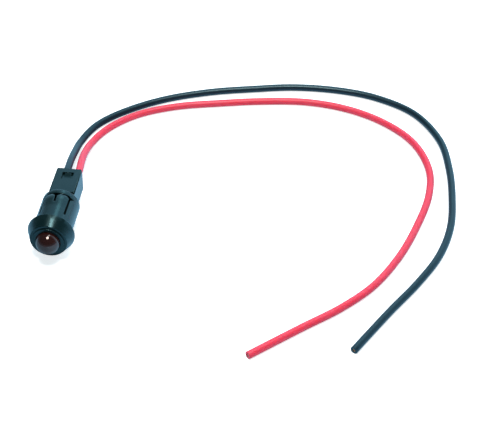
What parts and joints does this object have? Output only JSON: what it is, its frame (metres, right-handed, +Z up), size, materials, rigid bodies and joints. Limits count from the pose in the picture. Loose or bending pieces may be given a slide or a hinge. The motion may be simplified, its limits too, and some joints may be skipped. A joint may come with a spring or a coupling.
{
  "type": "panel-mount led indicator lamp with flying leads",
  "caption": "Snap-in panel indicator: a domed red LED in a black flanged plastic holder with insulated flying leads.",
  "frame": {"origin": "centre of the flange's rear face, which seats on the panel, on the barrel's axis", "axes": "+Y runs along the barrel from the flange to the leads, the dome looks along -Y, and +Z is up as the lamp lies on its side on a table"},
  "size_m": [0.0866, 0.0905, 0.0098],
  "materials": {
    "black_plastic": "satin moulded",
    "red_epoxy": "clear tinted, glossy",
    "tinned_metal": "tinned",
    "gold_wire": "bright",
    "die_crystal": "satin",
    "solder": "satin",
    "resistor_coat": "satin lacquer",
    "sleeve_black": "matt shrunk sleeving",
    "red_insulation": "satin extruded",
    "black_insulation": "satin extruded",
    "copper_strands": "drawn copper"
  },
  "bodies": {
    "root": {"housing": "black_plastic", "rear_cap": "black_plastic", "led_lens": "red_epoxy", "anode_post": "tinned_metal", "cathode_anvil": "tinned_metal", "led_die": "die_crystal", "bond_wire": "gold_wire", "anode_solder_joint": "solder", "resistor_front_lead": "tinned_metal", "resistor_body": "resistor_coat", "resistor_rear_lead": "tinned_metal", "red_solder_joint": "solder", "black_solder_joint": "solder", "red_conductor": "copper_strands", "black_conductor": "copper_strands", "red_sleeve": "sleeve_black", "black_sleeve": "sleeve_black", "red_lead": "red_insulation", "black_lead": "black_insulation"}
  },
  "joints": []
}
